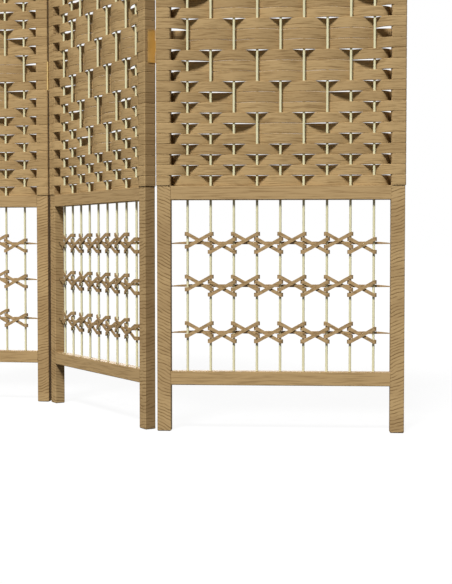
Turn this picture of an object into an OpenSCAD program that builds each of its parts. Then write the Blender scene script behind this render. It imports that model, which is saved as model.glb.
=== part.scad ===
// Three-panel folding screen. Each panel is a timber frame with nine slim rods. Wide wood
// strips are woven through the rods and round the stiles, with two diamonds in the weave,
// and an open window below and above the weave holds three crossed lattice rows.
// A panel is drawn about its own middle: X along its width, front towards -Y, floor at Z 0.

/* [Frame] */
// Width of one panel over its bare stiles
panel_w = 450; // [440:2:500]
// Width of a stile, seen from the front
stile_w = 25.4; // [22:0.2:28]
// Thickness of the stiles and rails
stile_t = 21; // [18:0.5:28]
// Height of a rail
rail_h = 25.6; // [20:0.2:32]
// Height of the legs below the bottom rail
leg_h = 85; // [50:5:140]
// Height of each open window
window_h = 313; // [291:2:381]
// Radius of the long edges of stiles and rails
edge_r = 1.5; // [0.8:0.1:2.5]
// Chamfer round the foot and the top of a stile
end_chamfer = 1.6; // [0.8:0.2:3]
// Length of a rail's tenon
tenon_l = 14; // [8:1:17]
// Thickness of a rail's tenon
tenon_t = 8; // [6:0.5:11]
// Shoulder above and below a tenon
tenon_shoulder = 4; // [2:0.5:6]

/* [Rods] */
// Diameter of a rod
rod_d = 4.6; // [3.6:0.2:6]
// Spacing of the rods
rod_pitch = 42.4; // [40:0.4:43.2]
// Depth of a rod's seat in the top and bottom rails
rod_seat = 12; // [6:1:17]

/* [Weave] */
// Spacing of the woven rows
row_pitch = 18.95; // [16:0.05:22]
// Gap between two rows
row_gap = 0.75; // [0.3:0.05:1.5]
// Thickness of a woven strip
strip_t = 1.4; // [1:0.1:1.7]

/* [Lattice] */
// Width of a lattice slat, square to its run
slat_w = 6.3; // [4.5:0.1:6.4]
// Thickness of a lattice slat and of the core strip behind it
slat_t = 1.4; // [0.8:0.1:1.5]
// Width of the core strip
core_w = 5; // [3.5:0.25:6]
// How far round a rod a slat's end hooks
slat_hook = 150; // [110:5:160]
// Half the height of a cross, between the middles of its slats' ends
cross_half = 11.7; // [11:0.1:12.6]
// How far a cross sits above or below its core, by turns
cross_shift = 4.7; // [4.4:0.1:5]
// How far the row beside the outer rail sits off the even spacing
row_drop = 7; // [0:1:12]
// Depth of the slot in a stile that takes the end of a core strip
core_slot = 3; // [2:0.5:6]

/* [Hinges] */
// Gap between two neighbouring stiles when the screen is laid flat
joint_gap = 4.8; // [4.8:0.2:8]
// Distance of a hinge pin from the face of the stiles
pin_offset = 2.7; // [2.7:0.1:5]
// Diameter of a hinge pin
pin_d = 2.4; // [1.8:0.2:2.8]
// Outer diameter of a hinge knuckle
knuckle_d = 4.8; // [4:0.2:5]
// Thickness of a hinge leaf
leaf_t = 0.8; // [0.6:0.1:0.9]
// Length of a hinge
hinge_h = 60; // [52:2:80]
// How far a leaf reaches across the stile past its middle
leaf_reach = 5; // [4:0.5:8]
// Diameter of a screw's shank
screw_d = 2.6; // [2:0.2:3]
// Diameter of a screw's head
screw_head_d = 5; // [4:0.2:6]
// Length of a screw under its head
screw_l = 14; // [8:1:18]
// Spacing of the screws in a leaf
screw_pitch = 20; // [14:1:22]
// Diameter of a hinge pin's head
pin_head_d = 4.4; // [3.6:0.2:5]
// Height of a hinge pin's head
pin_head_h = 1.2; // [0.8:0.2:2]

/* [Fold] */
// Turn of the middle panel from the front of the screen
middle_turn = 59; // [20:1:80]
// Angle between the left and the middle panel, 0 when they are in line
left_fold = 50; // [20:1:120]
// Angle between the middle and the right panel, 0 when they are in line
right_fold = 55.5; // [20:0.5:120]

/* [Clearances] */
// Room all round a tenon in its mortise
tenon_play = 0.1; // [0.05:0.05:0.3]
// Room round a rod in its bore, and round a core strip in its slot
rod_play = 0.05; // [0.05:0.05:0.2]
// Room between a strip or slat and what it passes
weave_play = 0.2; // [0.1:0.05:0.3]
// Room between a core strip's end and the bottom of its slot
core_end_play = 0.4; // [0.2:0.1:0.6]
// Room on each face of a core strip in its slot, which it enters at a slant
core_side_play = 0.5; // [0.4:0.1:0.8]
// Room round a screw in its hole
screw_play = 0.05; // [0.05:0.05:0.1]
// Room between a screw's tip and the bottom of its hole
screw_end_play = 0.5; // [0.3:0.1:1]
// Running room round a hinge pin in its knuckles
pin_play = 0.05; // [0.02:0.01:0.1]
// Room between two knuckles along the pin
knuckle_play = 0.4; // [0.2:0.1:0.8]

/* [Hidden] */
PANELS = ["left", "middle", "right"];
JOINTS = ["left", "right"];
PANEL_PIECES = [
    "left_stile", "right_stile", "bottom_rail", "lower_rail", "upper_rail", "top_rail", "rods",
    "odd_rows", "even_rows", "diamond_rows", "lower_cores", "lower_slats_one",
    "lower_slats_two", "upper_cores", "upper_slats_one", "upper_slats_two"
];

// Each band of a diamond lists the rods that its strip passes in front of
BANDS = [[2, 5, 8], [1, 4, 6, 9], [3, 5, 7], [2, 4, 6, 8], [3, 5, 7], [1, 4, 6, 9], [2, 5, 8]];
rod_count = 9;
band_step = 3;
first_band = 6;
diamond_step = len(BANDS) * band_step + 1;
diamond_count = 2;
row_count = diamond_count * diamond_step + first_band + 1;
BAND_ROWS = [
    for (d = [0 : diamond_count - 1], b = [0 : len(BANDS) - 1])
        first_band + d * diamond_step + b * band_step
];
lattice_rows = 3;
// The rows of weave that the hinges lie over
HINGE_ROWS = [14, 31, 48];

// Heights of the rails and the weave
bottom_z = leg_h;
lower_z = bottom_z + rail_h + window_h;
weave_z = lower_z + rail_h;
upper_z = weave_z + row_count * row_pitch;
top_z = upper_z + rail_h + window_h;
total_h = top_z + rail_h;
RAIL_Z = [bottom_z, lower_z, upper_z, top_z];

// Half widths of the panel outside and inside its stiles
stile_out = panel_w / 2;
stile_in = stile_out - stile_w;
half_t = stile_t / 2;

// Middle of a strip, a core and a slat from the middle of the rod it passes
strip_reach = rod_d / 2 + weave_play + strip_t / 2;
core_reach = rod_d / 2 + weave_play + slat_t / 2;
slat_reach = core_reach + slat_t + weave_play;

pin_x = stile_out + joint_gap / 2;
pin_y = half_t + pin_offset;
knuckle_l = hinge_h / 3;

// How far a cut runs out past the face that it opens
cut_past = 1;

// Past the last rod a strip runs level for a little, and then straight to a face of the stile,
// where it lands on the rounded edge before the face begins
strip_level = rod_d / 4;
strip_landing = stile_in + edge_r / 2;

wood = [0.67, 0.54, 0.37];
strip_wood = [0.69, 0.56, 0.39];
rod_wood = [0.89, 0.83, 0.66];
brass = [0.72, 0.58, 0.30];

function turn(a, p) = [p[0] * cos(a) - p[1] * sin(a), p[0] * sin(a) + p[1] * cos(a)];
function rod_x(i) = (i - (rod_count + 1) / 2) * rod_pitch;
function row_z(r) = weave_z + (r - 1) * row_pitch + row_gap / 2;
function row_mid(r) = weave_z + (r - 0.5) * row_pitch;
function has(list, v) = len([for (e = list) if (e == v) 1]) > 0;
// -1 where the strip passes in front of a rod, 1 where it passes behind
function side_at(front, i) = has(front, i) ? -1 : 1;
function plain_front(r) = [for (i = [1 : rod_count]) if (i % 2 == r % 2) i];
function hinge_z(k) = row_mid(HINGE_ROWS[k]);
// The edges of a panel that carry hinges
function hinge_edges(panel) = panel == "left" ? [1] : panel == "right" ? [-1] : [-1, 1];

// ---- Where the panels stand ----

// Pins in the middle panel's own plan: the left one in front, the right one behind
LEFT_PIN = [-pin_x, -pin_y];
RIGHT_PIN = [pin_x, pin_y];

// A point of a panel, turned about its pin into the middle panel's plan
function in_plan(panel, p) =
    panel == "left" ? LEFT_PIN + turn(left_fold, p - [pin_x, -pin_y])
    : panel == "right" ? RIGHT_PIN + turn(right_fold, p - [-pin_x, pin_y])
    : p;

// The middles of the arcs at the woven corners of the panels, which give the plan's outer box
CORNERS = [
    for (panel = PANELS, x = [-1, 1], y = [-1, 1])
        turn(-middle_turn, in_plan(panel, [x * (stile_out - edge_r), y * (half_t - edge_r)]))
];
xs = [for (c = CORNERS) c[0]];
ys = [for (c = CORNERS) c[1]];
CENTRE = [(min(xs) + max(xs)) / 2, (min(ys) + max(ys)) / 2];

module place(panel) {
    translate([-CENTRE[0], -CENTRE[1], 0])
        rotate(-middle_turn)
            if (panel == "left")
                translate(LEFT_PIN) rotate(left_fold) translate([-pin_x, pin_y]) children();
            else if (panel == "right")
                translate(RIGHT_PIN) rotate(right_fold) translate([pin_x, -pin_y]) children();
            else
                children();
}

// ---- Frame ----

module rounded_bar(w, t) {
    square([w - 2 * edge_r, t], center = true);
    square([w, t - 2 * edge_r], center = true);
    for (x = [-1, 1], y = [-1, 1])
        translate([x * (w / 2 - edge_r), y * (t / 2 - edge_r)])
            circle(edge_r, $fn = 24);
}

// Four 45 degree cuts round the end of a stile, at z 0
module end_cuts() {
    side = end_chamfer * sqrt(2);
    for (s = [-1, 1]) {
        translate([0, s * half_t, 0])
            rotate([45, 0, 0])
                cube([2 * stile_w, side, side], center = true);
        translate([s * stile_w / 2, 0, 0])
            rotate([0, 45, 0])
                cube([side, 2 * stile_t, side], center = true);
    }
}

module screw_holes(depth) {
    for (k = [0 : len(HINGE_ROWS) - 1], j = [-1 : 1])
        translate([stile_out - depth, 0, hinge_z(k) + j * screw_pitch])
            rotate([0, 90, 0])
                cylinder(d = screw_d + 2 * screw_play, h = depth + 2 * strip_t, $fn = 24);
}

// The right-hand stile of a panel. The left-hand one is its mirror image.
module stile(hinged) {
    color(wood)
        difference() {
            translate([stile_out - stile_w / 2, 0, 0])
                difference() {
                    linear_extrude(height = total_h)
                        rounded_bar(stile_w, stile_t);
                    end_cuts();
                    translate([0, 0, total_h])
                        end_cuts();
                }
            for (z = RAIL_Z)
                translate([
                    stile_in - cut_past, -tenon_t / 2 - tenon_play, z + tenon_shoulder - tenon_play
                ])
                    cube([
                        tenon_l + tenon_play + cut_past,
                        tenon_t + 2 * tenon_play,
                        rail_h - 2 * tenon_shoulder + 2 * tenon_play
                    ]);
            for (z = concat(lattice_z(false), lattice_z(true)))
                translate([stile_in + (core_slot - cut_past) / 2, 0, z])
                    cube(
                        [core_slot + cut_past, slat_t + 2 * core_side_play, core_w + 2 * rod_play],
                        center = true
                    );
            if (hinged)
                screw_holes(screw_l - strip_t + screw_end_play);
        }
}

module rail(z, bored_from, bored_to) {
    color(wood)
        difference() {
            translate([0, 0, z + rail_h / 2])
                union() {
                    rotate([90, 0, 90])
                        linear_extrude(height = 2 * stile_in, center = true)
                            rounded_bar(stile_t, rail_h);
                    cube(
                        [2 * (stile_in + tenon_l), tenon_t, rail_h - 2 * tenon_shoulder],
                        center = true
                    );
                }
            for (i = [1 : rod_count])
                translate([rod_x(i), 0, bored_from])
                    cylinder(d = rod_d + 2 * rod_play, h = bored_to - bored_from, $fn = 32);
        }
}

module bottom_rail() {
    rail(bottom_z, bottom_z + rail_h - rod_seat, bottom_z + rail_h + cut_past);
}

module lower_rail() {
    rail(lower_z, lower_z - cut_past, lower_z + rail_h + cut_past);
}

module upper_rail() {
    rail(upper_z, upper_z - cut_past, upper_z + rail_h + cut_past);
}

module top_rail() {
    rail(top_z, top_z - cut_past, top_z + rod_seat);
}

module rods() {
    foot = bottom_z + rail_h - rod_seat;
    color(rod_wood)
        for (i = [1 : rod_count])
            translate([rod_x(i), 0, foot])
                cylinder(d = rod_d, h = top_z + rod_seat - foot, $fn = 32);
}

// ---- Weave ----

// A ring of radius r and thickness t, from angle a0 to a1, less than 180 degrees apart
module ring_band(c, r, t, a0, a1) {
    far = 3 * (r + t);
    intersection() {
        translate(c)
            difference() {
                circle(r + t / 2, $fn = 32);
                circle(r - t / 2, $fn = 32);
            }
        polygon([c, c + turn(a0, [far, 0]), c + turn((a0 + a1) / 2, [far, 0]), c + turn(a1, [far, 0])]);
    }
}

// The part between x0 and x1 of a strip of thickness t bent round c, bulging to one side in Y
module bend_band(c, r, t, bulge, x0, x1) {
    intersection() {
        translate(c)
            difference() {
                translate([0, bulge * t / 2])
                    circle(r, $fn = 160);
                translate([0, -bulge * t / 2])
                    circle(r, $fn = 160);
            }
        translate([x0, bulge > 0 ? c[1] : c[1] - r - t])
            square([x1 - x0, r + t]);
    }
}

// A straight run of strip between two points, cut square to X at its ends
module run_band(p, q, t) {
    h = [0, t / 2];
    polygon([p - h, q - h, q + h, p + h]);
}

// From the last rod to the stile and round it, at the panel's right-hand edge.
// s is the side on which the strip reaches the stile: 1 behind, -1 in front.
module strip_end(rod_side, s) {
    outer = stile_out - edge_r;
    last = [rod_x(rod_count), rod_side * strip_reach];
    run_band(last, last + [strip_level, 0], strip_t);
    run_band(last + [strip_level, 0], [strip_landing, s * (half_t + strip_t / 2)], strip_t);
    for (y = [-1, 1]) {
        translate([strip_landing, y > 0 ? half_t : -half_t - strip_t])
            square([outer - strip_landing, strip_t]);
        ring_band([outer, y * (half_t - edge_r)], edge_r + strip_t / 2, strip_t, 0, y * 90);
    }
    translate([stile_out, edge_r - half_t])
        square([strip_t, 2 * (half_t - edge_r)]);
}

// A wave through the rods at the given reach: bends that meet midway between two rods on
// opposite sides, and straight runs between rods on the same side
module wave(front, reach, t) {
    half = rod_pitch / 2;
    bend = (pow(half, 2) + pow(reach, 2)) / (2 * reach);
    for (i = [1 : rod_count]) {
        side = side_at(front, i);
        to_left = i > 1 && side_at(front, i - 1) != side ? half : 0;
        to_right = i < rod_count && side_at(front, i + 1) != side ? half : 0;
        if (to_left + to_right > 0)
            bend_band(
                [rod_x(i), side * (reach - bend)], bend, t, side,
                rod_x(i) - to_left, rod_x(i) + to_right
            );
        if (i < rod_count && to_right == 0)
            run_band([rod_x(i), side * reach], [rod_x(i + 1), side * reach], t);
    }
}

module strip(front, end_side) {
    wave(front, strip_reach, strip_t);
    strip_end(side_at(front, rod_count), end_side);
    mirror([1, 0])
        strip_end(side_at(front, 1), end_side);
}

// One row, with holes where the screws of a hinge pass through it
module row(r, front, panel) {
    color(strip_wood)
        difference() {
            translate([0, 0, row_z(r)])
                linear_extrude(height = row_pitch - row_gap)
                    strip(front, r % 2 == 1 ? 1 : -1);
            for (edge = hinge_edges(panel), k = [0 : len(HINGE_ROWS) - 1], j = [-1 : 1])
                if (abs(hinge_z(k) + j * screw_pitch - row_mid(r)) < (row_pitch + screw_d) / 2)
                    translate([edge * stile_out, 0, hinge_z(k) + j * screw_pitch])
                        rotate([0, edge * 90, 0])
                            translate([0, 0, -strip_t])
                                cylinder(
                                    d = screw_d + 2 * screw_play, h = 3 * strip_t, $fn = 24
                                );
        }
}

module plain_rows(parity, panel) {
    for (r = [1 : row_count])
        if (r % 2 == parity && !has(BAND_ROWS, r))
            row(r, plain_front(r), panel);
}

module diamond_rows(panel) {
    for (n = [0 : len(BAND_ROWS) - 1])
        row(BAND_ROWS[n], BANDS[n % len(BANDS)], panel);
}

// ---- Lattice rows in the windows ----

// Heights of the core strips, with the row beside the outer rail set off by row_drop
function lattice_z(upper) =
    [for (k = [1 : lattice_rows])
        let (rise = k * window_h / (lattice_rows + 1) - (k == 1 ? row_drop : 0))
            upper ? top_z - rise : bottom_z + rail_h + rise];

// The side on which a core passes its last rod
core_side = side_at(plain_front(0), rod_count);

// Heights of a slat's two ends in a gap, from its core
function slat_rises(slat, gap) = (gap + slat) % 2 == 0;
function slat_ends(slat, gap) =
    let (mid = gap % 2 == 1 ? cross_shift : -cross_shift, rise = slat_rises(slat, gap) ? 1 : -1)
        [mid - rise * cross_half, mid + rise * cross_half];

// How far a rising slat bows forward to clear the falling one that it crosses
cross_slope = atan2(2 * cross_half, rod_pitch);
cross_bow = (slat_t + weave_play) / (1 - slat_w / sin(cross_slope) / rod_pitch);

module core() {
    tip = stile_in + core_slot - core_end_play;
    linear_extrude(height = core_w, center = true) {
        wave(plain_front(0), core_reach, slat_t);
        for (m = [-1, 1])
            run_band(
                [min(m * rod_x(rod_count), m * tip), m < 0 ? 0 : core_side * core_reach],
                [max(m * rod_x(rod_count), m * tip), m < 0 ? core_side * core_reach : 0],
                slat_t
            );
    }
}

// A slat seen from above: hooked round the rods on both sides of its gap, and bowed forward
// at its middle
module slat_plan(gap, bow) {
    left = [rod_x(gap), 0];
    right = [rod_x(gap + 1), 0];
    front = [0, -slat_reach];
    ring_band(left, slat_reach, slat_t, 270 - slat_hook, 270);
    ring_band(right, slat_reach, slat_t, -90, slat_hook - 90);
    run_band(left + front, (left + right) / 2 + front - [0, bow], slat_t);
    run_band((left + right) / 2 + front - [0, bow], right + front, slat_t);
}

// A slat's outline from the front: a diagonal, level round the rods
module slat_face(gap, ends) {
    h = [0, slat_w / cos(cross_slope) / 2];
    past = [2 * slat_reach, 0];
    p = [rod_x(gap), ends[0]];
    q = [rod_x(gap + 1), ends[1]];
    polygon([p - past - h, p - h, q - h, q + past - h, q + past + h, q + h, p + h, p - past + h]);
}

module slat(number) {
    for (gap = [1 : rod_count - 1])
        intersection() {
            linear_extrude(height = 8 * cross_half, center = true)
                slat_plan(gap, slat_rises(number, gap) ? cross_bow : 0);
            rotate([90, 0, 0])
                linear_extrude(height = 8 * slat_reach, center = true)
                    slat_face(gap, slat_ends(number, gap));
        }
}

module cores(upper) {
    color(strip_wood)
        for (z = lattice_z(upper))
            translate([0, 0, z])
                core();
}

module slats(number, upper) {
    color(strip_wood)
        for (z = lattice_z(upper))
            translate([0, 0, z])
                slat(number);
}

// ---- Hinges ----
// Drawn about the pin, on a stile whose edge faces +X and whose hinged face lies towards +Y.

function own_knuckles(middle) = middle ? [0] : [-1, 1];

module leaf(middle) {
    difference() {
        union() {
            translate([strip_t - joint_gap / 2, 0, -hinge_h / 2])
                cube([leaf_t, pin_y + leaf_reach, hinge_h]);
            for (k = own_knuckles(middle))
                translate([0, 0, k * knuckle_l])
                    cylinder(d = knuckle_d, h = knuckle_l - knuckle_play, center = true, $fn = 32);
        }
        for (k = own_knuckles(!middle))
            translate([0, 0, k * (knuckle_l + cut_past / 2)])
                cylinder(
                    d = knuckle_d + 2 * knuckle_play, h = knuckle_l + abs(k) * cut_past,
                    center = true, $fn = 32
                );
        cylinder(d = pin_d + 2 * pin_play, h = 2 * hinge_h, center = true, $fn = 32);
        for (j = [-1 : 1])
            translate([strip_t + leaf_t - joint_gap / 2, pin_y, j * screw_pitch])
                rotate([0, -90, 0])
                    translate([0, 0, -screw_play])
                        cylinder(
                            d1 = screw_head_d + 4 * screw_play, d2 = screw_d + 2 * screw_play,
                            h = leaf_t + 2 * screw_play, $fn = 24
                        );
    }
}

module pin() {
    shank_top = (hinge_h - knuckle_play) / 2;
    translate([0, 0, -hinge_h / 2])
        cylinder(d = pin_d, h = hinge_h / 2 + shank_top, $fn = 32);
    translate([0, 0, shank_top])
        cylinder(d = pin_head_d, h = pin_head_h, $fn = 32);
}

module screws() {
    for (j = [-1 : 1])
        translate([strip_t + leaf_t - joint_gap / 2, pin_y, j * screw_pitch])
            rotate([0, -90, 0])
                union() {
                    cylinder(d1 = screw_head_d, d2 = screw_d, h = leaf_t, $fn = 24);
                    cylinder(d = screw_d, h = screw_l, $fn = 24);
                }
}

// The hinges of a panel's edge: the left pin lies in front of the stiles, the right one behind
module on_edge(edge, joint) {
    color(brass)
        mirror([edge > 0 ? 0 : 1, 0, 0])
            mirror([0, joint == "left" ? 0 : 1, 0])
                for (k = [0 : len(HINGE_ROWS) - 1])
                    translate([pin_x, -pin_y, hinge_z(k)])
                        children();
}

for (p = PANELS) {
    hinged = hinge_edges(p);
    place(p) mirror([1, 0, 0]) stile(has(hinged, -1));
    place(p) stile(has(hinged, 1));
    place(p) bottom_rail();
    place(p) lower_rail();
    place(p) upper_rail();
    place(p) top_rail();
    place(p) rods();
    place(p) plain_rows(1, p);
    place(p) plain_rows(0, p);
    place(p) diamond_rows(p);
    place(p) cores(false);
    place(p) slats(1, false);
    place(p) slats(2, false);
    place(p) cores(true);
    place(p) slats(1, true);
    place(p) slats(2, true);
    place(p)
            for (edge = hinged)
                on_edge(edge, p == "middle" ? (edge < 0 ? "left" : "right") : p) screws();
}
place("left") on_edge(1, "left") leaf(false);  // left_hinge_outer_leaves
place("middle") on_edge(-1, "left") leaf(true);  // left_hinge_inner_leaves
place("left") on_edge(1, "left") pin();  // left_hinge_pins
place("right") on_edge(-1, "right") leaf(false);  // right_hinge_outer_leaves
place("middle") on_edge(1, "right") leaf(true);  // right_hinge_inner_leaves
place("right") on_edge(-1, "right") pin();  // right_hinge_pins
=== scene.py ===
import math
import random

import bpy
from mathutils import Matrix, Vector


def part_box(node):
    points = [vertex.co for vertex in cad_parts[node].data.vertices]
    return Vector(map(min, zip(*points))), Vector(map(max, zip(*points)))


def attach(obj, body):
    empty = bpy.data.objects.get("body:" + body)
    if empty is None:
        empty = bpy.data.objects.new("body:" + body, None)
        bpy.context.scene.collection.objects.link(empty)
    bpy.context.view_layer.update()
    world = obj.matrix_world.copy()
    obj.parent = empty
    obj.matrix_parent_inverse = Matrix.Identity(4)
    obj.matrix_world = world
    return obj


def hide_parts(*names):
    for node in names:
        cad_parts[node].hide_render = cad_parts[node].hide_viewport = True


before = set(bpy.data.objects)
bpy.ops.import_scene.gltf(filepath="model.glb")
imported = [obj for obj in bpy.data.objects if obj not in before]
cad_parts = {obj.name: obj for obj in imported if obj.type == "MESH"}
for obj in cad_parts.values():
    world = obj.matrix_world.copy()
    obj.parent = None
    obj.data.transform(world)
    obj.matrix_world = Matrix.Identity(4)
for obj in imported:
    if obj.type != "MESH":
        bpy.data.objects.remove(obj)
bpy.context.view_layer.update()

# The view: a camera about knee high in front of the screen, tipped slightly down, so that the
# lower two fifths of the three panels fill the picture.
eye = bpy.data.cameras.new("eye")
eye.sensor_width = 36.0
eye.lens = 72.475
eye.clip_start, eye.clip_end = 0.05, 60.0
eye_stand = bpy.data.objects.new("eye_stand", eye)
bpy.context.scene.collection.objects.link(eye_stand)
eye_stand.location = (0.25304, -2.38309, 0.34053)
eye_stand.rotation_euler = (math.radians(90 - 2.263), 0, 0)
bpy.context.scene.camera = eye_stand


# The stiles: six straight oak posts with slightly rounded long edges and chamfered ends, sanded
# and wiped with a thin tan stain. The figure runs across the posts in wavy dark lines.
class Link:
    """A shader socket that takes part in Python sums: each sum adds its Math node."""

    def __init__(self, finish, socket):
        self.finish, self.socket = finish, socket

    def _math(self, operation, *terms):
        return self.finish.node(
            "ShaderNodeMath", {"operation": operation}, dict(enumerate(terms))
        )["Value"]

    def __add__(self, other):
        return self._math("ADD", self, other)

    def __sub__(self, other):
        return self._math("SUBTRACT", self, other)

    def __mul__(self, other):
        return self._math("MULTIPLY", self, other)

    def __truediv__(self, other):
        return self._math("DIVIDE", self, other)

    def __radd__(self, other):
        return self._math("ADD", other, self)

    def __rsub__(self, other):
        return self._math("SUBTRACT", other, self)

    def call(self, operation, *others):
        return self._math(operation, self, *others)

    def step(self, low, high):
        """0 below low, 1 above high, smooth between."""
        return self.finish.node(
            "ShaderNodeMapRange",
            {"interpolation_type": "SMOOTHSTEP"},
            {"Value": self, "From Min": low, "From Max": high},
        )["Result"]


class Finish:
    """A named material or world, whose nodes are made one call at a time."""

    def __init__(self, name, store=bpy.data.materials):
        self.material = store.new(name)
        self.material.use_nodes = True
        self.tree = self.material.node_tree
        self.tree.nodes.clear()

    def node(self, kind, settings=None, values=None):
        """Adds a node with the given settings and inputs, and gives its outputs by name."""
        made = self.tree.nodes.new(kind)
        for key, value in (settings or {}).items():
            setattr(made, key, value)
        for key, value in (values or {}).items():
            if isinstance(value, Link):
                self.tree.links.new(value.socket, made.inputs[key])
            elif isinstance(value, tuple) and len(value) == 3 and made.inputs[key].type == "RGBA":
                made.inputs[key].default_value = (*value, 1.0)
            else:
                made.inputs[key].default_value = value
        return {socket.name: Link(self, socket) for socket in made.outputs}

    def noise(self, place, detail=2.0, rough=0.5):
        return self.node(
            "ShaderNodeTexNoise", {},
            {"Vector": place, "Scale": 1.0, "Detail": detail, "Roughness": rough},
        )["Fac"]

    def stretched(self, place, x, y, z, shift=(0.0, 0.0, 0.0)):
        return self.node(
            "ShaderNodeMapping", {}, {"Vector": place, "Scale": (x, y, z), "Location": shift}
        )["Vector"]

    def parts(self, place):
        made = self.node("ShaderNodeSeparateXYZ", values={"Vector": place})
        return made["X"], made["Y"], made["Z"]

    def joined(self, x, y, z):
        return self.node("ShaderNodeCombineXYZ", values={"X": x, "Y": y, "Z": z})["Vector"]

    def blend(self, factor, a, b):
        """Colour a where factor is 0 and colour b where it is 1."""
        made = self.tree.nodes.new("ShaderNodeMix")
        made.data_type = "RGBA"
        for key, value in ((0, factor), (6, a), (7, b)):
            if isinstance(value, Link):
                self.tree.links.new(value.socket, made.inputs[key])
            else:
                made.inputs[key].default_value = (
                    (*value, 1.0) if isinstance(value, tuple) else value
                )
        return Link(self, made.outputs[2])

    def surface(self, colour, roughness, height, depth, **fixed):
        """Ends the material: height gives its relief, depth metres deep."""
        normal = self.node(
            "ShaderNodeBump", {}, {"Height": height, "Distance": depth, "Strength": 1.0}
        )["Normal"]
        values = {"Base Color": colour, "Roughness": roughness, "Normal": normal}
        values.update({key.replace("_", " "): value for key, value in fixed.items()})
        shader = self.node("ShaderNodeBsdfPrincipled", {}, values)["BSDF"]
        self.node("ShaderNodeOutputMaterial", {}, {"Surface": shader})
        return self.material


# Degrees from facing straight ahead
PANEL_TURN = {"left": -9.0, "middle": -59.0, "right": -3.5}


def panel_middle(panel):
    low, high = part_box(f"{panel}_panel_bottom_rail")
    return Vector(((low.x + high.x) / 2, (low.y + high.y) / 2, 0.0))


def on_panel(finish, panel):
    """Places on a panel, in metres: x along its width from the middle, y its depth, z up."""
    place = finish.node("ShaderNodeTexCoord")["Object"]
    return finish.node(
        "ShaderNodeMapping", {"vector_type": "TEXTURE"},
        {"Vector": place, "Location": tuple(panel_middle(panel)),
         "Rotation": (0.0, 0.0, math.radians(PANEL_TURN[panel]))},
    )["Vector"]


def dress(node, material):
    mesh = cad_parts[node].data
    mesh.materials.clear()
    mesh.materials.append(material)


STILE_OUT = 0.225
FIGURE_PITCH, FIGURE_SWAY = 0.0031, 0.013
# The slope of the figure across a panel's left stile and its right one
FIGURE_LEAN = {"left": (-0.35, -0.28), "middle": (0.15, -0.1), "right": (0.5, -0.34)}
STILE_TONES, STILE_FIGURE = ((0.345, 0.225, 0.104), (0.445, 0.302, 0.143)), (0.15, 0.087, 0.032)
# Painted shade: the stiles' outer side faces, and the strips where they wrap round them, are
# darkened this far towards this tone, as if in shade
OUTSIDE_SHADE_TONE, OUTSIDE_SHADE_SHARE = (0.16, 0.10, 0.045), 0.45
TIMBER_SHINE = 0.05


def stile_finish(panel, edge):
    finish = Finish(f"{panel}_{edge}_stile_oak")
    place = on_panel(finish, panel)
    x, y, z = finish.parts(place)
    seed = 3.1 * list(PANEL_TURN).index(panel) + (0.0 if edge == "left" else 1.7)
    sway = finish.noise(finish.stretched(place, 32, 32, 22, (seed, 0, 0)), 2.0) - 0.5
    rise = z + (x + y) * FIGURE_LEAN[panel][edge == "right"] + sway * FIGURE_SWAY
    line = (rise / FIGURE_PITCH).call("PINGPONG", 1.0)
    faint = finish.noise(finish.joined(x * 45 + seed, y * 45, rise * 190), 2.0, 0.6)
    fine = finish.noise(finish.joined(x * 90, y * 90 + seed, rise * 900), 2.0, 0.6)
    broad = finish.noise(finish.stretched(place, 8, 8, 24, (0, seed, 0)), 3.0)
    dark = (1 - line.step(0.05, 0.5)) * faint.step(0.3, 0.62)
    tone = finish.blend(broad.step(0.3, 0.7), *STILE_TONES)
    tone = finish.blend(fine.step(0.3, 0.75) * 0.35, tone, (0.50, 0.355, 0.176))
    tone = finish.blend(dark * 0.85, tone, STILE_FIGURE)
    # Painted shade on the stile's outer side face
    outer_side_shade = x.call("ABSOLUTE").step(STILE_OUT - 0.0007, STILE_OUT - 0.0001)
    tone = finish.blend(outer_side_shade * OUTSIDE_SHADE_SHARE, tone, OUTSIDE_SHADE_TONE)
    relief = fine * 0.4 - dark * 0.6
    return finish.surface(
        tone, 0.62 + dark * 0.1, relief, 0.00012, Specular_IOR_Level=TIMBER_SHINE
    )


for panel in PANEL_TURN:
    for edge in ("left", "right"):
        dress(f"{panel}_panel_{edge}_stile", stile_finish(panel, edge))


# The rails: four oak rails a panel, tenoned into the stiles. Their grain runs along them, and
# their upper faces carry a painted shade that makes them darker than their fronts, as the
# photograph shows them.
RAIL_TONES, RAIL_GRAIN = ((0.385, 0.255, 0.120), (0.470, 0.322, 0.154)), (0.20, 0.122, 0.048)
# The painted shade on the rails' upper faces: its tone and how much of it is laid on
UPPER_FACE_SHADE_TONE, UPPER_FACE_SHADE_SHARE = (0.15, 0.098, 0.045), 0.62


def rail_finish(panel):
    finish = Finish(f"{panel}_rail_oak")
    place = on_panel(finish, panel)
    x, y, z = finish.parts(place)
    sway = finish.noise(finish.stretched(place, 7, 20, 16), 2.0) - 0.5
    rise = z + sway * 0.008
    line = finish.noise(finish.joined(x * 12, y * 90, rise * 330), 3.0, 0.6)
    fine = finish.noise(finish.joined(x * 60, y * 400, rise * 1100), 2.0, 0.6)
    dark = 1 - line.step(0.36, 0.52)
    tone = finish.blend(line, *RAIL_TONES)
    tone = finish.blend(fine.step(0.35, 0.75) * 0.3, tone, (0.49, 0.34, 0.168))
    tone = finish.blend(dark * 0.5, tone, RAIL_GRAIN)
    # Painted shade: faces that look upwards are darkened
    normal = finish.node("ShaderNodeNewGeometry")["Normal"]
    upper_face_shade = finish.parts(normal)[2].step(0.2, 0.8)
    tone = finish.blend(upper_face_shade * UPPER_FACE_SHADE_SHARE, tone, UPPER_FACE_SHADE_TONE)
    relief = fine * 0.4 - dark * 0.5
    return finish.surface(tone, 0.6, relief, 0.0001, Specular_IOR_Level=TIMBER_SHINE)


for panel in PANEL_TURN:
    made = rail_finish(panel)
    for level in ("bottom", "lower", "upper", "top"):
        dress(f"{panel}_panel_{level}_rail", made)


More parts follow.
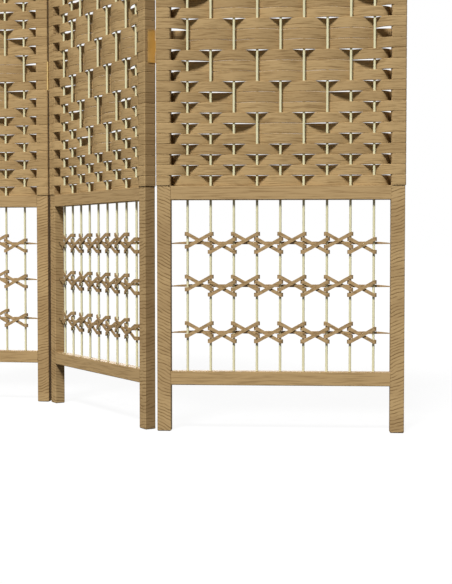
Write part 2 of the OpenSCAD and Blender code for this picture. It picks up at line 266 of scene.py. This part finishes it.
# The rods: nine slim pale rods a panel, sanded and left unstained. They pass through the two
# inner rails, and their ends are let into the bottom and the top rail.
ROD_TONES, ROD_STREAK = ((0.68, 0.62, 0.38), (0.76, 0.74, 0.50)), (0.60, 0.54, 0.30)


def rod_finish(panel):
    finish = Finish(f"{panel}_rod_pale")
    place = on_panel(finish, panel)
    x, y, z = finish.parts(place)
    streak = finish.noise(finish.joined(x * 900, y * 900, z * 14), 2.0, 0.6)
    patch = finish.noise(finish.joined(x * 40, y * 40, z * 22), 2.0)
    tone = finish.blend(patch, *ROD_TONES)
    tone = finish.blend(streak.step(0.3, 0.8) * 0.4, tone, ROD_STREAK)
    return finish.surface(tone, 0.5, streak, 0.00008, Specular_IOR_Level=0.3)


for panel in PANEL_TURN:
    dress(f"{panel}_panel_rods", rod_finish(panel))


# The weave: 51 sawn strips of light wood a panel, 1.4 mm thick, bent through the rods while wet.
# Each is level over the rods it passes in front of and creased behind the others. It goes round
# both stiles, odd rows from behind and even rows from in front, and ends on their other face.
STILE_IN, STILE_HALF, STILE_EDGE = 0.1996, 0.0105, 0.0015
WEAVE_FOOT, ROW_PITCH, ROW_COUNT = 0.4492, 0.01895, 51
STRIP_HEIGHT, STRIP_THICK = 0.01878, 0.0014
STRIP_FACE = STILE_HALF + STRIP_THICK / 2
ROD_PITCH, ROD_COUNT = 0.0424, 9
# How far a strip's middle line stands from the rods' middle, before them and behind them
FRONT_REACH, BACK_REACH = 0.0032, 0.0092
STRIP_ARCH, LEVEL_STEPS, ARCH_STEPS = 1.7, 4, 10
# The rods in front of which each strip of a diamond passes, and the rows of the two diamonds
BANDS = ((2, 5, 8), (1, 4, 6, 9), (3, 5, 7), (2, 4, 6, 8), (3, 5, 7), (1, 4, 6, 9), (2, 5, 8))
BAND_ROWS = [first + 3 * n for first in (6, 28) for n in range(len(BANDS))]


def rod_place(i):
    return (i - (ROD_COUNT + 1) / 2) * ROD_PITCH


def fronts(row):
    """The rods that a row passes in front of."""
    if row in BAND_ROWS:
        return BANDS[BAND_ROWS.index(row) % len(BANDS)]
    return [i for i in range(1, ROD_COUNT + 1) if i % 2 == row % 2]


def straight(start, end, steps):
    """Points from start to just before end."""
    return [start.lerp(end, n / steps) for n in range(steps)]


def arch(front, back, steps):
    """From over one rod to behind another: level over the first, creased at the second."""
    points = []
    for n in range(steps + 1):
        share = n / steps
        points.append(Vector((
            front.x + (back.x - front.x) * share,
            front.y + (back.y - front.y) * share**STRIP_ARCH,
        )))
    return points


def through_rods(front):
    """The middle line of a strip from the first rod to the last."""
    stops = [
        Vector((rod_place(i), -FRONT_REACH if i in front else BACK_REACH))
        for i in range(1, ROD_COUNT + 1)
    ]
    points = []
    for here, there in zip(stops, stops[1:]):
        if here.y == there.y:
            points += straight(here, there, LEVEL_STEPS)
        elif here.y < there.y:
            points += arch(here, there, ARCH_STEPS)[:-1]
        else:
            points += arch(there, here, ARCH_STEPS)[:0:-1]
    return points + [stops[-1]]


def eased(start, end, start_slope, end_slope, steps):
    """A curve from start to just before end that leaves and arrives at the given slopes."""
    run, points = end.x - start.x, []
    for n in range(1, steps):
        t = n / steps
        rise = (end.y - start.y) * t * t * (3 - 2 * t)
        rise += run * (start_slope * t * (1 - t) ** 2 - end_slope * t * t * (1 - t))
        points.append(Vector((start.x + run * t, start.y + rise)))
    return points


def arc(middle, radius, start, turn, steps):
    angles = [math.radians(start + turn * n / steps) for n in range(steps + 1)]
    return [middle + Vector((math.cos(a), math.sin(a))) * radius for a in angles]


# The slope at which a strip lands on a stile: on the side where it passed the last rod, through
# to the stile's back, and through to its front. For the last it leaves the rod LEAVE_RATIO times
# as steeply as the straight way there.
SAME_SIDE_SLOPE, BACK_SLOPE, FRONT_SLOPE, LEAVE_RATIO = 0.3, 1.7, 0.05, 1.9
REACH_STEPS, LANDING_STEPS, CORNER_STEPS = 12, 3, 4


def round_stile(rod_side, side):
    """The middle line on from the last rod, round the stile and along its other face."""
    inner, outer = STILE_IN + STILE_EDGE, STILE_OUT - STILE_EDGE
    level, bend = STILE_HALF - STILE_EDGE, STILE_EDGE + STRIP_THICK / 2
    start = Vector((rod_place(ROD_COUNT), -FRONT_REACH if rod_side < 0 else BACK_REACH))
    leave = 0.0
    if rod_side == side:
        slope = SAME_SIDE_SLOPE
        if side > 0:
            leave = slope
    elif side > 0:
        slope = BACK_SLOPE
    else:
        slope = FRONT_SLOPE
        leave = LEAVE_RATIO * (STRIP_FACE + BACK_REACH) / (STILE_IN - start.x)
    lift = math.degrees(math.atan(slope))
    near = Vector((inner, side * level))
    corner = arc(near, bend, side * (90 + lift), -side * lift, LANDING_STEPS)
    points = eased(start, corner[0], side * leave, side * slope, REACH_STEPS) + corner
    for turned in (1, -1):
        middle = Vector((outer, side * turned * level))
        points += arc(middle, bend, side * 90 if turned > 0 else 0, -side * 90, CORNER_STEPS)
    far = Vector((inner, -side * STRIP_FACE))
    return points + straight(points[-1], far, LEVEL_STEPS)[1:] + [far]


def strip_line(row):
    """A strip's middle line, from its left end to its right end."""
    front = fronts(row)
    side = 1 if row % 2 else -1
    right = round_stile(-1 if ROD_COUNT in front else 1, side)
    left = round_stile(-1 if 1 in front else 1, side)
    return [Vector((-p.x, p.y)) for p in reversed(left)] + through_rods(front) + right


# Points up one face of a strip: share of its half height, and how far the face draws in there
STRIP_SECTION = (
    (-1.0, 0.0006), (-0.95, 0.0003), (-0.86, 0.0), (0.9, 0.0), (0.96, 0.0001), (1.0, 0.0003),
)


def add_band(line, edges, verts, faces):
    """A band of wood along a line, with its lower and upper edge's height at each point."""
    profile = [(STRIP_THICK / 2 - drawn, share) for share, drawn in STRIP_SECTION]
    profile += [(-across, share) for across, share in reversed(profile)]
    first, ring = len(verts), len(profile)
    for n, (point, (low, high)) in enumerate(zip(line, edges)):
        ahead = line[min(n + 1, len(line) - 1)] - line[max(n - 1, 0)]
        out = Vector((ahead.y, -ahead.x)).normalized()
        for across, share in profile:
            place = point + out * across
            verts.append((place.x, place.y, (low + high) / 2 + share * (high - low) / 2))
    for n in range(len(line) - 1):
        for k in range(ring):
            a, b = first + n * ring + k, first + n * ring + (k + 1) % ring
            faces.append((a, b, b + ring, a + ring))
    last = len(verts) - ring
    faces.append(tuple(first + k for k in reversed(range(ring))))
    faces.append(tuple(last + k for k in range(ring)))


# A strip stands this much higher over the rods in front, and lower behind the others
CROSS_LIFT = 0.00012
# The waves in a strip's edges: how fast, where and how far they swing
WAVE_RATE, WAVE_START, WAVE_SIZE = (15, 70), (0, 6.28), (0.00002, 0.00006)


def add_strip(row, verts, faces):
    """One strip of the weave, whose edges waver a little along it."""
    chance = random.Random(row)
    line = strip_line(row)
    foot = WEAVE_FOOT + (row - 0.5) * ROW_PITCH - STRIP_HEIGHT / 2
    waves = [
        (chance.uniform(*WAVE_RATE), chance.uniform(*WAVE_START), chance.uniform(*WAVE_SIZE))
        for _ in range(4)
    ]
    lowest = 0.0 if row == 1 else -CROSS_LIFT
    highest = 0.0 if row == ROW_COUNT else CROSS_LIFT
    edges = []
    for point in line:
        sway = [size * math.sin(rate * point.x + start) for rate, start, size in waves]
        depth = min(max((point.y + FRONT_REACH) / (FRONT_REACH + BACK_REACH), 0.0), 1.0)
        low = foot + min(max(CROSS_LIFT * (1 - 2 * depth), lowest), highest)
        edges.append((low + sway[0] + sway[1], low + STRIP_HEIGHT + sway[2] + sway[3]))
    add_band(line, edges, verts, faces)


def stand(panel):
    """Turns and moves a piece made about the panel's middle to where the panel stands."""
    return Matrix.Translation(panel_middle(panel)) @ Matrix.Rotation(
        math.radians(PANEL_TURN[panel]), 4, "Z"
    )


def wood_piece(name, panel, verts, faces, material, *nodes):
    """Adds a wooden piece to a panel, in the place of the named nodes."""
    mesh = bpy.data.meshes.new(name)
    mesh.from_pydata(verts, [], faces)
    mesh.transform(stand(panel))
    mesh.shade_smooth()
    mesh.materials.append(material)
    piece = bpy.data.objects.new(name, mesh)
    bpy.context.scene.collection.objects.link(piece)
    faces_flat = piece.modifiers.new("faces_flat", "WEIGHTED_NORMAL")
    faces_flat.mode, faces_flat.weight = "FACE_AREA", 100
    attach(piece, f"{panel}_panel")
    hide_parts(*nodes)


def weave_piece(panel, kind, rows, material):
    verts, faces = [], []
    for row in rows:
        add_strip(row, verts, faces)
    name = f"{panel}_{kind}_strips"
    wood_piece(name, panel, verts, faces, material, f"{panel}_panel_{kind}_rows")


STRIP_TONES, STRIP_GRAIN = ((0.372, 0.247, 0.113), (0.462, 0.315, 0.148)), (0.175, 0.104, 0.040)


def strip_finish(panel):
    finish = Finish(f"{panel}_strip_wood")
    place = on_panel(finish, panel)
    x, y, z = finish.parts(place)
    row = ((z - WEAVE_FOOT) / ROW_PITCH).call("FLOOR")
    own = finish.node(
        "ShaderNodeTexWhiteNoise", {"noise_dimensions": "1D"}, {"W": row + 0.5}
    )["Value"]
    sway = finish.noise(finish.joined(x * 22 + own * 40, y * 9, z * 45), 2.0) - 0.5
    rise = z + sway * 0.006
    line = finish.noise(finish.joined(x * 24 + own * 90, own * 30, rise * 560), 3.0, 0.65)
    fine = finish.noise(finish.joined(x * 120, own * 50, rise * 1300), 2.0, 0.6)
    dark = 1 - line.step(0.34, 0.52)
    tone = finish.blend(own, *STRIP_TONES)
    tone = finish.blend(fine.step(0.35, 0.75) * 0.3, tone, (0.49, 0.345, 0.170))
    tone = finish.blend(dark * 0.62, tone, STRIP_GRAIN)
    # Painted shade on the strips where they wrap round the stiles' outer side faces
    outer_side_shade = x.call("ABSOLUTE").step(STILE_OUT + 0.0004, STILE_OUT + 0.0013)
    tone = finish.blend(outer_side_shade * OUTSIDE_SHADE_SHARE, tone, OUTSIDE_SHADE_TONE)
    relief = fine * 0.5 - dark * 0.5
    return finish.surface(tone, 0.6, relief, 0.0001, Specular_IOR_Level=TIMBER_SHINE)


for panel in PANEL_TURN:
    made = strip_finish(panel)
    plain = [row for row in range(1, ROW_COUNT + 1) if row not in BAND_ROWS]
    weave_piece(panel, "odd", [row for row in plain if row % 2], made)
    weave_piece(panel, "even", [row for row in plain if row % 2 == 0], made)
    weave_piece(panel, "diamond", BAND_ROWS, made)


# The lattice rows in the windows: a narrow core strip woven through the rods, its ends in slots
# in the stiles, and crossed slats in front of it whose ends hook round the rods. Both are sawn
# wood, toned slightly darker on every panel and much darker on the middle panel, where the extra
# darkening is a painted shade, as in the photograph.
SLAT_TONES, SLAT_GRAIN = ((0.37, 0.245, 0.118), (0.50, 0.345, 0.176)), (0.19, 0.115, 0.048)
# A slight darker tone on every panel, and on the middle panel a painted shade on top of it
DARKER_AND_SHADE_TONE, DARKER_AND_SHADE_SHARE = (0.15, 0.09, 0.038), {"left": 0.08, "middle": 0.3, "right": 0.08}


def slat_finish(panel):
    finish = Finish(f"{panel}_slat_wood")
    place = on_panel(finish, panel)
    x, y, z = finish.parts(place)
    line = finish.noise(finish.joined(x * 110, y * 90, z * 520), 3.0, 0.6)
    dark = 1 - line.step(0.36, 0.54)
    tone = finish.blend(line, *SLAT_TONES)
    tone = finish.blend(dark * 0.6, tone, SLAT_GRAIN)
    # Darker tone, and on the middle panel painted shade
    tone = finish.blend(DARKER_AND_SHADE_SHARE[panel], tone, DARKER_AND_SHADE_TONE)
    return finish.surface(tone, 0.6, line, 0.0001, Specular_IOR_Level=TIMBER_SHINE)


# The lattice rows' distances from the bottom rail's upper face and the top rail's lower face
LATTICE_RISES, WINDOW_FOOT, WINDOW_TOP = (0.07125, 0.1565, 0.23475), 0.1106, 1.75425
CORE_HEIGHT, CORE_REACH, CORE_TIP, CORE_STEPS = 0.005, 0.0032, 0.2022, 8
# A core's tail past the last rod: its height and its droop at the tip, and how full it stays
TAIL_HEIGHT, TAIL_DROP, TAIL_SWELL = 0.0012, 0.0012, 0.7


def core_line():
    """A core's middle line, its heights, and how far each point has sunk below its middle."""
    places = [rod_place(i) for i in range(1, ROD_COUNT + 1)]
    sides = [CORE_REACH if i % 2 else -CORE_REACH for i in range(1, ROD_COUNT + 1)]
    line, heights, drops = [], [], []
    for n in range(CORE_STEPS):
        t = n / CORE_STEPS
        line.append(Vector((-CORE_TIP + (CORE_TIP + places[0]) * t, sides[0] * t)))
        heights.append(TAIL_HEIGHT + (CORE_HEIGHT - TAIL_HEIGHT) * t**TAIL_SWELL)
        drops.append(TAIL_DROP * (1 - t) ** 2)
    for here, there, y, y_there in zip(places, places[1:], sides, sides[1:]):
        for n in range(CORE_STEPS):
            t = n / CORE_STEPS
            crossed = t * t * (3 - 2 * t)
            line.append(Vector((here + (there - here) * t, y + (y_there - y) * crossed)))
            heights.append(CORE_HEIGHT)
            drops.append(0.0)
    tail = [Vector((-p.x, p.y)) for p in reversed(line[:CORE_STEPS])]
    line += [Vector((places[-1], sides[-1]))] + tail
    heights += [CORE_HEIGHT] + heights[CORE_STEPS - 1::-1]
    drops += [0.0] + drops[CORE_STEPS - 1::-1]
    return line, heights, drops


def core_piece(panel, level, material):
    verts, faces = [], []
    line, heights, drops = core_line()
    for rise in LATTICE_RISES:
        middle = WINDOW_FOOT + rise if level == "lower" else WINDOW_TOP - rise
        edges = [
            (middle - sunk - tall / 2, middle - sunk + tall / 2)
            for tall, sunk in zip(heights, drops)
        ]
        add_band(line, edges, verts, faces)
    name = f"{panel}_{level}_core_strips"
    wood_piece(name, panel, verts, faces, material, f"{panel}_panel_{level}_cores")


for panel in PANEL_TURN:
    made = slat_finish(panel)
    for level in ("lower", "upper"):
        core_piece(panel, level, made)
        for piece in ("slats_one", "slats_two"):
            dress(f"{panel}_panel_{level}_{piece}", made)


# The hinges: three butt hinges of dull brass a joint, each two leaves and a pin. Countersunk
# brass screws hold the leaves to the stiles' edges, over the weave.
BRASS_TONES = (0.55, 0.38, 0.15), (0.68, 0.50, 0.22)


def brass_finish():
    finish = Finish("dull_brass")
    place = finish.node("ShaderNodeTexCoord")["Object"]
    cloud = finish.noise(finish.stretched(place, 90, 90, 90), 3.0)
    scratch = finish.noise(finish.stretched(place, 900, 900, 60), 2.0)
    tone = finish.blend(cloud, *BRASS_TONES)
    return finish.surface(tone, 0.32 + cloud * 0.2, scratch, 0.00004, Metallic=1.0)


made = brass_finish()
for panel in PANEL_TURN:
    dress(f"{panel}_panel_hinge_screws", made)
for joint in ("left", "right"):
    for piece in ("outer_leaves", "inner_leaves", "pins"):
        dress(f"{joint}_hinge_{piece}", made)


# The studio: a white floor and surround, one lamp ahead, above and a little to the left, a weaker
# one behind for the backs, and an even fill that leaves the far sides darker.
WHITE, FLOOR_HALF, FLOOR_GLOW, FILL_STRENGTH = (1.0, 1.0, 1.0), 30, 0.92, 0.13


def rays(finish):
    """1 where the floor or surround is seen, directly, in metal or through glass."""
    path = finish.node("ShaderNodeLightPath")
    seen = path["Is Camera Ray"].call("MAXIMUM", path["Is Glossy Ray"])
    return seen.call("MAXIMUM", path["Is Transmission Ray"])


def floor_finish():
    finish = Finish("studio_floor")
    seen = rays(finish)
    paint = finish.blend(seen, (0.1, 0.1, 0.1), (0.8, 0.8, 0.8))
    matt = finish.node("ShaderNodeBsdfDiffuse", {}, {"Color": paint})["BSDF"]
    glow = finish.node("ShaderNodeEmission", {}, {"Color": WHITE, "Strength": 1.0})["Emission"]
    both = finish.node("ShaderNodeMixShader", {}, {0: seen * FLOOR_GLOW, 1: matt, 2: glow})
    finish.node("ShaderNodeOutputMaterial", {}, {"Surface": both["Shader"]})
    return finish.material


floor_mesh = bpy.data.meshes.new("studio_floor")
floor_mesh.from_pydata(
    [(x * FLOOR_HALF, y * FLOOR_HALF, 0) for x, y in ((-1, -1), (1, -1), (1, 1), (-1, 1))],
    [], [(0, 1, 2, 3)],
)
floor_mesh.materials.append(floor_finish())
floor = bpy.data.objects.new("studio_floor", floor_mesh)
bpy.context.scene.collection.objects.link(floor)

surround = Finish("studio_surround", bpy.data.worlds)
fill = surround.node("ShaderNodeBackground", {}, {"Color": WHITE, "Strength": FILL_STRENGTH})
clear = surround.node("ShaderNodeBackground", {}, {"Color": WHITE, "Strength": 1.0})
chosen = surround.node(
    "ShaderNodeMixShader", {},
    {0: rays(surround), 1: fill["Background"], 2: clear["Background"]},
)
surround.node("ShaderNodeOutputWorld", {}, {"Surface": chosen["Shader"]})
bpy.context.scene.world = surround.material

# Each lamp's strength, its height in degrees, and the bearing towards which it shines
LAMPS = {"front_lamp": (4.9, 55, 20), "back_lamp": (2.2, 25, 176)}
LAMP_SPREAD = 14
for name, (strength, height, bearing) in LAMPS.items():
    lamp = bpy.data.lights.new(name, "SUN")
    lamp.energy, lamp.angle = strength, math.radians(LAMP_SPREAD)
    lamp_stand = bpy.data.objects.new(name, lamp)
    bpy.context.scene.collection.objects.link(lamp_stand)
    height, bearing = math.radians(height), math.radians(bearing)
    shine = Vector((
        math.sin(bearing) * math.cos(height),
        math.cos(bearing) * math.cos(height),
        -math.sin(height),
    ))
    lamp_stand.rotation_euler = shine.to_track_quat("-Z", "Y").to_euler()

bpy.context.scene.view_settings.view_transform = "Standard"
